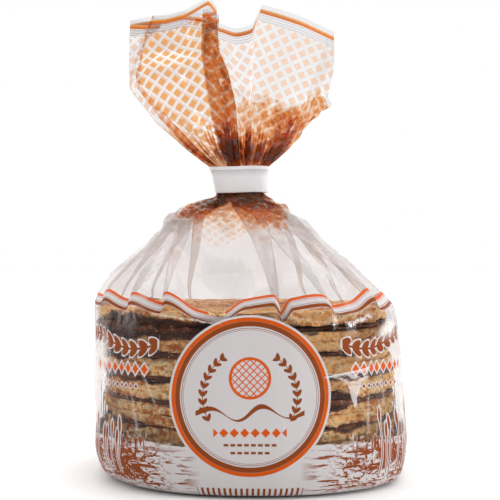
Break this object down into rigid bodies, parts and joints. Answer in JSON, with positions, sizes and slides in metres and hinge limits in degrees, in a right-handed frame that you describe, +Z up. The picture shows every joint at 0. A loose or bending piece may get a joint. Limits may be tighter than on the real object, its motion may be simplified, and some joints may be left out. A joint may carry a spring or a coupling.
{
  "type": "bag of stroopwafels",
  "caption": "Clear film bag filled with a stack of round syrup waffles, pleated in to a neck, closed by a flat white band and open above it in a folded fan.",
  "frame": {"origin": "on the table, under the middle of the bag's box", "axes": "+Z up along the bag, +X to the right and -Y towards the viewer of the bag's front, where the round label field is"},
  "size_m": [0.0989, 0.0962, 0.148],
  "materials": {
    "clear_film": "thin glossy clear film",
    "film_print": "orange, brown and white ink on glossy film",
    "waffle": "matt golden baked crumb",
    "syrup": "dark glossy caramel syrup",
    "white_band": "satin white plastic band"
  },
  "bodies": {
    "root": {"bag": "clear_film", "tie": "white_band"}
  },
  "joints": []
}
